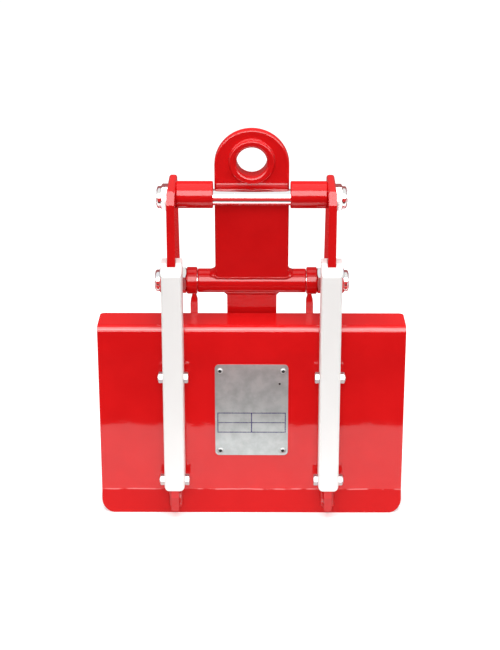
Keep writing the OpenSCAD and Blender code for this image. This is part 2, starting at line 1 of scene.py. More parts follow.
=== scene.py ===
"""Plate lifting clamp: finishes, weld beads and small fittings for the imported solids, in a plain studio.

Lengths are in metres, in the frame of the solids: x to the right, y to the back, z up.
"""
import math

import bpy
import numpy as np
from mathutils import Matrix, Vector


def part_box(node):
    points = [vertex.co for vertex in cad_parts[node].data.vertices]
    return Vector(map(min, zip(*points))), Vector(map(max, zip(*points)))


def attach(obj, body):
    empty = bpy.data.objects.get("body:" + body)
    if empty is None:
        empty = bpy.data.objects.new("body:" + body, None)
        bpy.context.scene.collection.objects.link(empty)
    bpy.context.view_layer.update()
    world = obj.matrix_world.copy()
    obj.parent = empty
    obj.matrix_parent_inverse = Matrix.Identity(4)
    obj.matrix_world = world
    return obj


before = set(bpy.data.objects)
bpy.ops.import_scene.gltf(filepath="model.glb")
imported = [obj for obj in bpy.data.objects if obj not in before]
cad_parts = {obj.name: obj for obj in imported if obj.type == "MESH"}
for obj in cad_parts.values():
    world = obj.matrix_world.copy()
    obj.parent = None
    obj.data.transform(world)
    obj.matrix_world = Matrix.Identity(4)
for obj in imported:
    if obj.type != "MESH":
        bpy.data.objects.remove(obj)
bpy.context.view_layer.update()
mm = 0.001


def low(node):
    """Lowest corner of a solid."""
    return np.array(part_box(node)[0])


def high(node):
    """Highest corner of a solid."""
    return np.array(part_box(node)[1])


def middle(node):
    """Centre of a solid's box."""
    return (low(node) + high(node)) / 2


# Places read from the solids, and two sizes of the part that no box shows: bend_r and eye_fore
face_y = high("rating_plate")[1]
wall_back = low("front_pad")[1]
flange_top = high("front_plate")[2]
flange_back = high("front_plate")[1]
lip_front = low("front_plate")[1]
lip_top = low("front_pad")[2] - 1 * mm
bend_r = 7 * mm
arm_in = low("right_arm")[0]
arm_out = high("right_arm")[0]
foot_z = low("right_arm")[2]
cover_foot = low("right_cover")[2]
pivot = middle("pivot_shaft")
eye = middle("eye_ring")
eye_fore = 5.4 * mm
lever = eye - pivot
lean = math.atan2(-lever[1], lever[2]) - math.asin(eye_fore / np.linalg.norm(lever))
right = np.array([1.0, 0.0, 0.0])
back = np.array([0.0, 1.0, 0.0])
up = np.array([0.0, 0.0, 1.0])
lever_up = np.array([0.0, -math.sin(lean), math.cos(lean)])
lever_back = np.array([0.0, math.cos(lean), math.sin(lean)])


def place_camera():
    """Camera at the photograph's view: 20 degrees above the horizon and 0.3 degrees to the right.

    It aims at a point on the plate's face. Its focal length is 1640 pixels in a picture of 500 by 650.
    """
    target = np.array([-1.6 * mm, face_y, 204 * mm])
    rise = math.radians(20)
    turn = math.radians(0.3)
    distance = 1.64
    focal_pixels = 1640
    picture_height = 650
    sensor = 36
    away = np.array([math.cos(rise) * math.sin(turn), -math.cos(rise) * math.cos(turn), math.sin(rise)])
    lens = bpy.data.cameras.new("camera")
    lens.sensor_width = sensor
    lens.lens = focal_pixels * sensor / picture_height
    lens.clip_end = 100
    camera = bpy.data.objects.new("camera", lens)
    camera.location = target + distance * away
    camera.rotation_euler = (math.radians(90) - rise, 0, turn)
    bpy.context.scene.collection.objects.link(camera)
    bpy.context.scene.camera = camera


place_camera()


class Val:
    """A shader value. Operators between values and numbers add Math nodes to the value's finish."""

    def __init__(self, finish, socket):
        self.finish = finish
        self.socket = socket

    def __add__(self, other):
        return self.finish.math("ADD", self, other)

    def __radd__(self, other):
        return self.finish.math("ADD", other, self)

    def __sub__(self, other):
        return self.finish.math("SUBTRACT", self, other)

    def __rsub__(self, other):
        return self.finish.math("SUBTRACT", other, self)

    def __mul__(self, other):
        return self.finish.math("MULTIPLY", self, other)

    def __rmul__(self, other):
        return self.finish.math("MULTIPLY", other, self)

    def __truediv__(self, other):
        return self.finish.math("DIVIDE", self, other)

    def __gt__(self, other):
        return self.finish.math("GREATER_THAN", self, other)

    def __lt__(self, other):
        return self.finish.math("LESS_THAN", self, other)

    def __abs__(self):
        return self.finish.math("ABSOLUTE", self)


class Finish:
    """One material and its nodes, with patterns on Object coordinates in metres."""

    def __init__(self, name):
        self.material = bpy.data.materials.new(name)
        self.material.use_nodes = True
        self.tree = self.material.node_tree
        self.tree.nodes.clear()
        self.place = self.node("ShaderNodeTexCoord", out="Object")

    def node(self, kind, settings=None, inputs=None, out=0):
        """Adds a node: settings first, then values or links for its sockets. Gives one of its outputs."""
        made = self.tree.nodes.new(kind)
        for key, value in (settings or {}).items():
            setattr(made, key, value)
        for key, value in (inputs or {}).items():
            if isinstance(value, Val):
                self.tree.links.new(value.socket, made.inputs[key])
            else:
                made.inputs[key].default_value = value
        return Val(self, made.outputs[out]) if made.outputs else None

    def math(self, operation, *values):
        """One Math node on values or numbers."""
        return self.node("ShaderNodeMath", {"operation": operation}, dict(enumerate(values)))

    def step(self, value, start, end):
        """Smooth step of a value from 0 at start to 1 at end."""
        inputs = {"Value": value, "From Min": start, "From Max": end}
        return self.node("ShaderNodeMapRange", {"interpolation_type": "SMOOTHSTEP"}, inputs)

    def mix(self, share, first, second):
        """Colour between two colours."""
        return self.node("ShaderNodeMix", {"data_type": "RGBA"}, {0: share, 6: first, 7: second}, out=2)

    def stretched(self, x, y, z):
        """Object coordinates multiplied along each axis."""
        settings = {"operation": "MULTIPLY"}
        return self.node("ShaderNodeVectorMath", settings, {0: self.place, 1: (x, y, z)})

    def noise(self, scale, detail=2.0, place=None, rough=0.5):
        """Noise from 0 to 1 whose scale counts the spots in a metre."""
        inputs = {"Vector": place or self.place, "Scale": scale, "Detail": detail, "Roughness": rough}
        return self.node("ShaderNodeTexNoise", None, inputs, out="Fac")

    def axes(self):
        """The three object coordinates as values."""
        parts = self.node("ShaderNodeSeparateXYZ", None, {0: self.place})
        made = parts.socket.node
        return [Val(self, made.outputs[i]) for i in range(3)]

    def rounded(self, radius):
        """Normals of edges rounded to a radius, with a mask that is 1 on the rounded edges."""
        soft = self.node("ShaderNodeBevel", {"samples": 6}, {"Radius": radius})
        flat = self.node("ShaderNodeNewGeometry", out="True Normal")
        settings = {"operation": "DOT_PRODUCT"}
        turn = self.node("ShaderNodeVectorMath", settings, {0: soft, 1: flat}, out="Value")
        return soft, self.step(1.0 - turn, 0.005, 0.12)

    def bump(self, height, depth, normal=None):
        """Normal of a height map whose whole range is depth metres."""
        inputs = {"Height": height, "Distance": depth, "Strength": 1.0}
        if normal is not None:
            inputs["Normal"] = normal
        return self.node("ShaderNodeBump", None, inputs)

    def shade(self, **sockets):
        """Ends the finish in one Principled shader; words in the socket names are joined by underscores."""
        inputs = {key.replace("_", " "): value for key, value in sockets.items()}
        shader = self.node("ShaderNodeBsdfPrincipled", None, inputs)
        self.node("ShaderNodeOutputMaterial", None, {"Surface": shader})
        return self.material


def red_paint():
    """Gloss powder coat: orange peel of about 3 mm on slow waves of 12 mm and clouded; its edges are painted
    a paler red, a painted highlight.

    On the front plate it is painted deeper below the lip's crease, a painted shade, and paler along the upper
    bend and, in pieces, along the crease, both painted highlights. Both pale lines wander a little.
    """
    f = Finish("red_paint")
    y, z = f.axes()[1:]
    near = 0.5 * mm
    wander_range = 1.6 * mm
    bend_band = np.array([1.2, 1.9, 3.2, 3.9]) * mm
    peel_depth = 16e-6
    wave_depth = 55e-6
    soft, edge = f.rounded(1.1 * mm)
    clouds = f.noise(28, 3)
    specks = f.noise(900, 2)
    waves = f.noise(85, 1)
    peel = f.noise(330, 1.5)
    ground = f.mix(f.step(clouds, 0.3, 0.7), (0.64, 0.006, 0.007, 1), (0.69, 0.0075, 0.0085, 1))
    ground = f.mix(f.step(specks, 0.60, 0.75) * 0.18, ground, (0.77, 0.018, 0.018, 1))
    # Painted shade: the lip below the crease is painted a deeper red
    lip = (z < lip_top) * (y < face_y + near)
    ground = f.mix(lip * 0.6, ground, (0.50, 0.006, 0.007, 1))
    # Painted highlight: the rounded edges are painted a paler red
    colour = f.mix(edge * 0.35, ground, (0.80, 0.022, 0.02, 1))
    wander = (f.noise(45, 2) - 0.5) * wander_range
    # Painted highlight: a pale band of paint along the upper bend of the plate
    below_bend = flange_top - z + 0.4 * wander
    bend = f.step(below_bend, bend_band[0], bend_band[1]) * f.step(below_bend, bend_band[3], bend_band[2])
    bend = bend * (y < face_y + bend_r) * (y > face_y - near)
    colour = f.mix(bend * 0.8, colour, (0.80, 0.27, 0.27, 1))
    # Painted highlight: a broken pale line of paint along the lip's crease
    crease = f.step(abs(z - lip_top + wander), 0.9 * mm, 0.3 * mm) * (abs(y - face_y) < 1.5 * mm)
    crease = crease * f.step(f.noise(60, 3), 0.38, 0.56)
    colour = f.mix(crease * 0.75, colour, (0.86, 0.24, 0.24, 1))
    rough = 0.045 + 0.03 * f.noise(60, 2) + 0.03 * edge
    normal = f.bump(peel, peel_depth, f.bump(waves, wave_depth, soft))
    return f.shade(Base_Color=colour, Roughness=rough, Normal=normal, IOR=1.5)


def white_plastic():
    """Moulded white plastic with a fine spark-eroded grain and slow flow marks along its length."""
    f = Finish("white_plastic")
    soft, edge = f.rounded(0.6 * mm)
    flow = f.noise(30, 3, f.stretched(1, 1, 0.25))
    grain = f.noise(1500, 2)
    colour = f.mix(flow, (0.83, 0.83, 0.815, 1), (0.88, 0.88, 0.865, 1))
    # Painted highlight: the rounded edges are painted a paler white
    colour = f.mix(edge * 0.4, colour, (0.90, 0.90, 0.89, 1))
    rough = 0.36 + 0.12 * grain
    normal = f.bump(grain, 14e-6, soft)
    return f.shade(Base_Color=colour, Roughness=rough, Normal=normal, IOR=1.5)


def zinc(name, bright, dull):
    """Zinc plate with faint blue and straw clouds and fine turning scratches; its edges are painted dark
    grey, a painted shade line.

    The clouds are as bright as the number bright says, and dull is the least roughness.
    """
    f = Finish(name)
    soft, edge = f.rounded(0.5 * mm)
    clouds = f.noise(140, 3)
    scratch = f.noise(700, 2, f.stretched(4, 1, 1))
    colour = f.mix(f.step(clouds, 0.35, 0.65),
                   (0.94 * bright, 0.96 * bright, bright, 1), (bright, 0.99 * bright, 0.95 * bright, 1))
    # Painted shade: the rounded edges are painted dark grey
    colour = f.mix(edge * 0.7, colour, (0.22, 0.225, 0.235, 1))
    rough = dull + 0.05 * clouds + 0.05 * scratch
    normal = f.bump(scratch, 4e-6, soft)
    return f.shade(Base_Color=colour, Roughness=rough, Metallic=1.0, Normal=normal)


def chrome():
    """Ground and chromed bar: mirror bright, with very faint grinding rings round it."""
    f = Finish("chrome")
    rings = f.noise(60, 2, f.stretched(40, 0.3, 0.3))
    haze = f.noise(90, 2)
    colour = f.mix(haze, (0.86, 0.87, 0.88, 1), (0.92, 0.92, 0.92, 1))
    rough = 0.04 + 0.02 * rings
    normal = f.bump(rings, 0.3e-6)
    return f.shade(Base_Color=colour, Roughness=rough, Metallic=1.0, Normal=normal)


def aluminium():
    """Brushed aluminium with an empty ruled table in dark blue and one small punched mark, its hollow painted
    near black as a painted shade.
    """
    f = Finish("aluminium")
    x, y, z = f.axes()
    table_z = 98.2 * mm
    half_w = 34.9 * mm
    half_h = 11.1 * mm
    line = 1.0 * mm
    mark_x = 28.4 * mm
    mark_z = 140.9 * mm
    mark_r = 1.1 * mm
    streaks = f.noise(600, 3, f.stretched(0.06, 1, 1))
    stains = f.noise(70, 4, rough=0.6)
    inside = (abs(x) < half_w) * (abs(z - table_z) < half_h)
    frame_line = inside * (1.0 - (abs(x) < half_w - line) * (abs(z - table_z) < half_h - line))
    row = inside * (abs(z - table_z) < 0.45 * line)
    column = inside * (abs(x) < 0.55 * line)
    ink = f.math("MAXIMUM", frame_line, f.math("MAXIMUM", row, column))
    front = y < face_y - 0.8 * mm
    ink = ink * front * (0.75 + 0.25 * f.step(f.noise(900, 2), 0.3, 0.6))
    metal = f.mix(f.step(stains, 0.35, 0.65), (0.40, 0.44, 0.435, 1), (0.50, 0.545, 0.54, 1))
    metal = f.mix(streaks * 0.12, metal, (0.59, 0.62, 0.61, 1))
    # Painted shade: the punched mark's hollow is a flat near-black disc
    off_x = x - mark_x
    off_z = z - mark_z
    mark = (off_x * off_x + off_z * off_z < mark_r ** 2) * front
    metal = f.mix(mark, metal, (0.03, 0.03, 0.03, 1))
    colour = f.mix(ink, metal, (0.035, 0.03, 0.11, 1))
    rough = 0.15 + 0.04 * streaks + 0.10 * stains
    normal = f.bump(streaks, 1.5e-6)
    return f.shade(Base_Color=colour, Roughness=rough, Metallic=0.45 - 0.45 * ink, Normal=normal)


def rivet_alloy():
    """Dull pressed aluminium of the rivet heads, faintly mottled."""
    f = Finish("rivet_alloy")
    soft = f.rounded(0.2 * mm)[0]
    tone = f.noise(900, 2)
    colour = f.mix(tone, (0.34, 0.35, 0.35, 1), (0.46, 0.47, 0.46, 1))
    rough = 0.34 + 0.16 * tone
    normal = f.bump(tone, 8e-6, soft)
    return f.shade(Base_Color=colour, Roughness=rough, Metallic=0.6, Normal=normal)


def rubber():
    """Black grip rubber moulded with rows of small blunt pyramids, dusty grey on their tips."""
    f = Finish("rubber")
    x, _, z = f.axes()
    half_pitch = 3 * mm
    along = abs(f.math("PINGPONG", x + 1.0, half_pitch) / half_pitch - 0.5) * 2.0
    across = abs(f.math("PINGPONG", z + 1.0, half_pitch) / half_pitch - 0.5) * 2.0
    studs = f.step(f.math("MINIMUM", 1.0 - along, 1.0 - across), 0.12, 0.62)
    dust = f.noise(220, 3)
    colour = f.mix(studs * dust, (0.012, 0.012, 0.013, 1), (0.05, 0.05, 0.05, 1))
    rough = 0.62 + 0.25 * dust
    normal = f.bump(studs + 0.1 * dust, 0.7 * mm)
    return f.shade(Base_Color=colour, Roughness=rough, Normal=normal)


def bronze():
    """Sintered bronze bush: warm, dull, with small open pores."""
    f = Finish("bronze")
    pores = f.noise(1400, 2)
    tone = f.noise(120, 3)
    colour = f.mix(tone, (0.50, 0.30, 0.13, 1), (0.66, 0.43, 0.20, 1))
    colour = f.mix(f.step(pores, 0.62, 0.72), colour, (0.10, 0.06, 0.03, 1))
    rough = 0.34 + 0.2 * pores
    normal = f.bump(pores, 12e-6)
    return f.shade(Base_Color=colour, Roughness=rough, Metallic=1.0, Normal=normal)


def nylon():
    """Bluish white nylon of the lock rings, with a fine grain."""
    f = Finish("nylon")
    grain = f.noise(900, 2)
    colour = f.mix(grain, (0.62, 0.66, 0.70, 1), (0.76, 0.79, 0.82, 1))
    rough = 0.42 + 0.15 * grain
    normal = f.bump(grain, 10e-6)
    return f.shade(Base_Color=colour, Roughness=rough, Normal=normal)


def stem_steel():
    """Broken steel of the rivet stems, painted near black with little gloss as the shade inside the rivets'
    hollow cores.
    """
    f = Finish("stem_steel")
    crust = f.noise(2500, 3)
    # Painted shade: near black for the shade in the rivets' cores
    colour = f.mix(crust, (0.012, 0.012, 0.013, 1), (0.04, 0.04, 0.04, 1))
    rough = 0.55 + 0.3 * crust
    normal = f.bump(crust, 60e-6)
    return f.shade(Base_Color=colour, Roughness=rough, Specular_IOR_Level=0.08, Normal=normal)


finishes = {
    "red_paint": red_paint(),
    "white_plastic": white_plastic(),
    "zinc": zinc("zinc", bright=0.83, dull=0.07),
    "dull_zinc": zinc("dull_zinc", bright=0.50, dull=0.40),
    "chrome": chrome(),
    "aluminium": aluminium(),
    "rivet_alloy": rivet_alloy(),
    "rubber": rubber(),
    "bronze": bronze(),
}
nylon_white = nylon()
stem_shade_black = stem_steel()

not_painted = {
    "left_cover": "white_plastic",
    "right_cover": "white_plastic",
    "cover_bolts": "dull_zinc",
    "cover_nuts": "dull_zinc",
    "top_nuts": "zinc",
    "pivot_shaft": "zinc",
    "pivot_nuts": "zinc",
    "pivot_thin_nuts": "zinc",
    "lug_pins": "zinc",
    "lug_clips": "zinc",
    "jaw_pins": "zinc",
    "jaw_clips": "zinc",
    "top_rod": "chrome",
    "rating_plate": "aluminium",
    "plate_rivets": "rivet_alloy",
    "front_pad": "rubber",
    "rear_pad": "rubber",
    "pivot_bushes": "bronze",
}
for name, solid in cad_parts.items():
    solid.data.materials.clear()
    solid.data.materials.append(finishes[not_painted.get(name, "red_paint")])


def grid_faces(rows, columns, wrap_rows):
    """Quads between neighbouring points of a grid whose columns close on themselves."""
    index = np.arange(rows * columns).reshape(rows, columns)
    beside = np.roll(index, -1, axis=1)
    above = np.roll(index, -1, axis=0)
    corner = np.roll(beside, -1, axis=0)
    quads = np.stack([index, beside, corner, above], axis=-1)
    if not wrap_rows:
        quads = quads[:-1]
    return quads.reshape(-1, 4)


def closed_tube(points, ring):
    """Points and faces of a tube with end caps. The sign of the volume they hold turns the faces outwards."""
    rows, columns = points.shape[:2]
    flat = points.reshape(-1, 3)
    quads = grid_faces(rows, columns, ring)
    caps = [] if ring else [np.arange(columns)[::-1], np.arange(columns) + (rows - 1) * columns]
    a, b, c, d = (flat[quads[:, i]] - flat.mean(0) for i in range(4))
    volume = (np.cross(a, b) * c).sum() + (np.cross(a, c) * d).sum()
    for cap in caps:
        p = flat[cap] - flat.mean(0)
        volume += (np.cross(p[0], p[1:-1]) * p[2:]).sum()
    faces = [list(q) for q in quads.tolist()] + [cap.tolist() for cap in caps]
    if volume < 0:
        faces = [face[::-1] for face in faces]
    return flat, faces


def add_piece(name, tubes, material, body):
    """One mesh of several closed tubes, smooth, riding on a body and finished with the given material."""
    points = []
    faces = []
    count = 0
    for flat, quads in tubes:
        points.append(flat)
        faces += [[i + count for i in face] for face in quads]
        count += len(flat)
    mesh = bpy.data.meshes.new(name)
    mesh.from_pydata(np.concatenate(points).tolist(), [], faces)
    mesh.polygons.foreach_set("use_smooth", np.ones(len(mesh.polygons), bool))
    mesh.update()
    mesh.materials.append(material)
    piece = bpy.data.objects.new(name, mesh)
    bpy.context.scene.collection.objects.link(piece)
    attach(piece, body)
    return piece


def unit(vectors):
    """Vectors made 1 long."""
    return vectors / np.linalg.norm(vectors, axis=-1, keepdims=True)


def weld_bead(corner, toe_a, toe_b, leg, ring=False, seed=1, bulge=0.12, ripple=0.04):
    """Fillet weld: a section carried along the corner between two faces.

    Between the toes, leg times toe_a and leg times toe_b from the corner, a section point is pushed out by a
    half sine of the bulge, or drawn in where the bulge is negative. The leg breathes with slow sines along
    the bead and a saw-tooth, whose teeth lag towards the toes, lays the ripples over it. Open ends shrink
    along a quarter circle.
    """
    step = 0.45 * mm
    ripple_pitch = 2.2 * mm
    swell_pitches_mm = np.array([37, 17, 9])
    swell_heights = [0.05, 0.04, 0.03]
    turn_share = 0.7
    tooth_lag = 0.9
    least_end = 0.12
    sunk = 0.12 * mm
    corner, toe_a, toe_b = (np.asarray(p, float) for p in (corner, toe_a, toe_b))
    leg = np.broadcast_to(leg, len(corner)).astype(float)
    if ring:
        corner, toe_a, toe_b = (np.concatenate([p, p[:1]]) for p in (corner, toe_a, toe_b))
        leg = np.concatenate([leg, leg[:1]])
    moved, turned_a, turned_b = (np.linalg.norm(np.diff(p, axis=0), axis=1) for p in (corner, toe_a, toe_b))
    turn = turned_a + turned_b
    reach = np.concatenate([[0], np.cumsum(moved + turn * leg[1:] * turn_share)])
    count = max(8, int(reach[-1] / step))
    s = np.linspace(0, reach[-1], count + 1)
    if ring:
        s = s[:-1]
    corner, toe_a, toe_b = (
        np.stack([np.interp(s, reach, p[:, i]) for i in range(3)], axis=1) for p in (corner, toe_a, toe_b))
    toe_a = unit(toe_a)
    toe_b = unit(toe_b)
    leg = np.interp(s, reach, leg)
    wander = np.random.default_rng(seed).uniform(0, 2 * math.pi, 3)
    cycles = np.maximum(1, np.round(reach[-1] / swell_pitches_mm / mm)) * 2 * math.pi / reach[-1]
    swell = (np.sin(s[:, None] * cycles + wander) * swell_heights).sum(1)
    ripples = max(1, round(reach[-1] / ripple_pitch)) / reach[-1]
    end = np.ones_like(s)
    if not ring:
        near = np.clip(np.minimum(s, s[-1] - s) / leg, 0, 1)
        end = np.maximum(least_end, np.sqrt(1 - (1 - near) ** 2))
    v = np.linspace(0, 1, 9)
    lag = tooth_lag * (2 * v - 1) ** 2
    tooth = np.mod(s[:, None] * ripples - lag, 1.0)
    lift = np.sin(math.pi * v) * (bulge + ripple * (tooth - 0.5))
    size = (leg * end * (1 + swell))[:, None, None]
    out = unit(toe_a + toe_b)
    sink = sunk * (toe_a + toe_b)
    span = (1 - v)[None, :, None] * toe_a[:, None] + v[None, :, None] * toe_b[:, None]
    crown = corner[:, None] + size * (span + lift[..., None] * out[:, None]) - sink[:, None]
    root = (corner - 2 * sink)[:, None]
    return closed_tube(np.concatenate([crown, root], axis=1), ring)


def lathe(axis_point, axis, profile, steps=48):
    """Ring or stud turned about an axis: each profile point is a radius and a distance along the axis."""
    axis = unit(np.asarray(axis, float))
    side = unit(np.cross(axis, [0.31, 0.52, 0.79]))
    other = np.cross(axis, side)
    t = np.linspace(0, 2 * math.pi, steps, endpoint=False)[:, None]
    radius = np.array(profile)[None, :, 0, None]
    along = np.array(profile)[None, :, 1, None]
    round_it = np.cos(t)[..., None] * side + np.sin(t)[..., None] * other
    return closed_tube(np.asarray(axis_point) + radius * round_it + along * axis, True)


def arm_seam(side):
    """Corner between one arm and the front plate, with both toe directions and the leg.

    It runs along the flange, round the bend, down the wall and the lip, round the foot and up the arm's other
    side.
    """
    t = np.linspace(0, math.pi / 2, 9)
    slant = unit(np.array([0.0, face_y - lip_front, lip_top]))
    lip_out = np.array([0.0, -slant[2], slant[1]])
    foot_y = lip_front + (face_y - lip_front) * foot_z / lip_top
    bend_y = face_y + bend_r - bend_r * np.sin(t)
    bend_z = flange_top - bend_r + bend_r * np.cos(t)
    wall_z = np.array([cover_foot + 6 * mm, cover_foot - 2 * mm, lip_top + 1 * mm])
    line_y = np.concatenate([[flange_back - 2 * mm], bend_y, [face_y] * 4, [foot_y]])
    line_z = np.concatenate([[flange_top], bend_z, wall_z, [lip_top, foot_z]])
    bend_out = np.stack([0 * t, -np.sin(t), np.cos(t)], axis=1)
    normal = np.concatenate([[up], bend_out, [-back] * 3, [unit(lip_out - back), lip_out]])
    legs = np.array([4] + [3.6] * len(t) + [2.7, 3.8, 3.8, 4.2, 3.6]) * mm
    foot_leg = 3 * mm
    foot_turn = 0.4 * side * right
    flank = np.stack([0 * line_y, line_y, line_z], axis=1)
    inner = flank + side * arm_in * right
    outer = (flank + side * arm_out * right)[::-1]
    away = np.broadcast_to(side * right, flank.shape)
    foot = np.array([inner[-1], inner[-1] * 0.5 + outer[0] * 0.5, outer[0]])
    corner = np.concatenate([inner, foot, outer])
    toe_a = np.concatenate([-away, [-slant - foot_turn, -slant, -slant + foot_turn], away])
    toe_b = np.concatenate([normal, [-back, -back, -back], normal[::-1]])
    leg = np.concatenate([legs, [foot_leg] * 3, legs[::-1]])
    return corner, unit(toe_a), unit(toe_b), leg


def saddle_seam(width, depth, edge, radius, sign, fore=0.0):
    """Closed corner round a flat bar that stands on the pivot tube: a rounded rectangle laid over the tube.

    The rectangle lies the distance fore in front of the pivot. Where it is b behind the pivot, the tube is
    sqrt(radius^2 - b^2) high.
    """
    t = np.linspace(0, math.pi / 2, 6)
    quarter = np.stack([np.cos(t), np.sin(t)], axis=1)
    turned = [quarter, quarter[:, ::-1] * [-1, 1], -quarter, quarter[:, ::-1] * [1, -1]]
    centres = np.array([[1, 1], [-1, 1], [-1, -1], [1, -1]]) * [width / 2 - edge, depth / 2 - edge]
    flat = np.concatenate([c + edge * q for c, q in zip(centres, turned)]) - [0, fore]
    normal = np.concatenate(turned)
    rise = sign * np.sqrt(radius ** 2 - flat[:, 1] ** 2)
    corner = pivot + flat[:, :1] * right + flat[:, 1:] * lever_back + rise[:, None] * lever_up
    toe_a = np.broadcast_to(sign * lever_up, corner.shape)
    fall = -normal[:, 1] * flat[:, 1] / rise
    toe_b = normal[:, :1] * right + normal[:, 1:] * lever_back + fall[:, None] * lever_up
    return corner, toe_a, unit(toe_b)


def ring_seam(sign, plate_t, radius):
    """Closed corner circle between the eye ring and the front or back of the eye plate."""
    t = np.linspace(0, 2 * math.pi, 96, endpoint=False)
    radial = np.cos(t)[:, None] * right + np.sin(t)[:, None] * lever_up
    corner = eye + sign * plate_t / 2 * lever_back + radius * radial
    return corner, radial, np.broadcast_to(sign * lever_back, corner.shape)


def straight_seam(start, end, toe_a, toe_b):
    """Corner along a straight line."""
    share = np.linspace(0, 1, 5)[:, None]
    corner = (1 - share) * start + share * end
    return corner, np.broadcast_to(toe_a, corner.shape), np.broadcast_to(toe_b, corner.shape)


def side_beads(node, wall, bottom, top, leg, seed):
    """Upright beads along both sides of a bar that stands on the back of a plate."""
    beads = []
    for x, toe in ((low(node)[0], -right), (high(node)[0], right)):
        start = np.array([x, wall, bottom])
        end = np.array([x, wall, top])
        beads.append(weld_bead(*straight_seam(start, end, toe, back), leg=leg, seed=seed))
    return beads


def foot_seam(node, wall, top_gap):
    """Open corner round a bar on the back of a plate: down one side, across the bottom and up the other."""
    a = low(node)
    b = high(node)
    top = b[2] - top_gap
    corner = np.array([[a[0], wall, top], [a[0], wall, a[2]], [a[0], wall, a[2]], [b[0], wall, a[2]],
                       [b[0], wall, a[2]], [b[0], wall, top]])
    toe_a = np.array([-right, -right, -up, -up, right, right])
    return corner, toe_a, np.broadcast_to(back, corner.shape)


def add_welds():
    """Painted weld beads between the steel pieces, one mesh for each place."""
    paint = finishes["red_paint"]
    for side, name in ((-1, "left_arm_weld"), (1, "right_arm_weld")):
        bead = weld_bead(*arm_seam(side), seed=5 + side, bulge=0.2, ripple=0.12)
        add_piece(name, [bead], paint, "frame")
    plate_t = 9 * mm
    ring_r = (high("eye_ring")[0] - low("eye_ring")[0]) / 2
    rings = []
    for sign in (-1, 1):
        seam = ring_seam(sign, plate_t, ring_r)
        rings.append(weld_bead(*seam, leg=1.2 * mm, ring=True, seed=11, bulge=-0.14, ripple=0.01))
    add_piece("eye_ring_weld", rings, paint, "eye_lever")
    tube_r = 12.25 * mm
    plate_w = 74 * mm
    plate_edge = 2 * mm
    neck_w = 50.6 * mm
    neck_t = 8 * mm
    neck_edge = 0.5 * mm
    plate_foot = saddle_seam(plate_w, plate_t, plate_edge, tube_r, 1, eye_fore)
    neck_top = saddle_seam(neck_w, neck_t, neck_edge, tube_r, -1)
    front = np.clip(-(plate_foot[2] @ lever_back), 0, 1)
    plate_leg = (6.0 - 7.2 * front) * mm
    saddles = [
        weld_bead(*plate_foot, leg=plate_leg, ring=True, seed=21, bulge=-0.14, ripple=0.015),
        weld_bead(*neck_top, leg=3.0 * mm, ring=True, seed=22, bulge=0.0, ripple=0.02),
    ]
    add_piece("pivot_tube_weld", saddles, paint, "eye_lever")
    bottom = flange_top - 5.5 * mm
    top = flange_top - 0.5 * mm
    for name in ("left_hanger", "right_hanger"):
        beads = side_beads(name, flange_back, bottom, top, leg=2.6 * mm, seed=31)
        add_piece(name + "_weld", beads, paint, "frame")
    for name in ("left_lug", "right_lug"):
        bead = weld_bead(*foot_seam(name, wall_back, top_gap=4 * mm), leg=3.2 * mm, seed=41)
        add_piece(name + "_weld", [bead], paint, "frame")
    rear_back = high("rear_pad")[1] + 6 * mm
    rear_top = high("rear_pad")[2] - 3 * mm
    for name in ("left_rear_rib", "right_rear_rib"):
        beads = side_beads(name, rear_back, low(name)[2] + 2 * mm, rear_top, leg=3.2 * mm, seed=51)
        add_piece(name + "_weld", beads, paint, "rear_jaw")


def add_small_fittings():
    """Nylon rings in the lock nuts' mouths and the broken stems in the rivets' cores."""
    ring_section = np.array([[8.1, -0.4], [8.1, 0.15], [8.4, 0.3], [9.0, 0.3], [9.4, 0.1], [9.4, -0.4]]) * mm
    rings = []
    for name in ("pivot_nuts", "top_nuts"):
        centre = middle(name)
        for sign in (-1, 1):
            end = np.array([sign * high(name)[0], centre[1], centre[2]])
            rings.append(lathe(end, sign * right, ring_section))
    add_piece("lock_nut_rings", rings, nylon_white, "frame")
    stem_section = np.array(
        [[0.02, 0.10], [1.0, 0.12], [1.6, 0.04], [1.75, -0.2], [0.98, -0.6], [0.02, -0.6]]) * mm
    stem_steps = 24
    head_r = 3.2 * mm
    core_depth = 0.12 * mm
    stems = []
    rivet_low = low("plate_rivets")
    rivet_high = high("plate_rivets")
    for x in (rivet_low[0] + head_r, rivet_high[0] - head_r):
        for z in (rivet_low[2] + head_r, rivet_high[2] - head_r):
            place = [x, rivet_low[1] + core_depth, z]
            stems.append(lathe(place, -back, stem_section, stem_steps))
    add_piece("rivet_stems", stems, stem_shade_black, "frame")


add_welds()
add_small_fittings()

# Where the white floor in front of the clamp ends and the dark card in its gloss begins
white_edge = face_y - 0.217


def card(name, corners, colour, strength=1.0):
    """Flat card of the studio that is seen in reflections only."""
    mesh = bpy.data.meshes.new(name)
    mesh.from_pydata([tuple(c) for c in corners], [], [tuple(range(len(corners)))])
    piece = bpy.data.objects.new(name, mesh)
    bpy.context.scene.collection.objects.link(piece)
    f = Finish(name)
    glow = f.node("ShaderNodeEmission", None, {"Color": colour, "Strength": strength})
    f.node("ShaderNodeOutputMaterial", None, {"Surface": glow})
    mesh.materials.append(f.material)
    piece.visible_camera = False
    piece.visible_diffuse = False
    piece.visible_shadow = False


def seen_directly(f):
    """1 for camera rays and for mirrored or transmitted rays, 0 for the light that surfaces scatter."""
    path = f.node("ShaderNodeLightPath").socket.node
    kinds = [Val(f, path.outputs[n]) for n in ("Is Camera Ray", "Is Glossy Ray", "Is Transmission Ray")]
    return f.math("MINIMUM", kinds[0] + kinds[1] + kinds[2], 1.0)


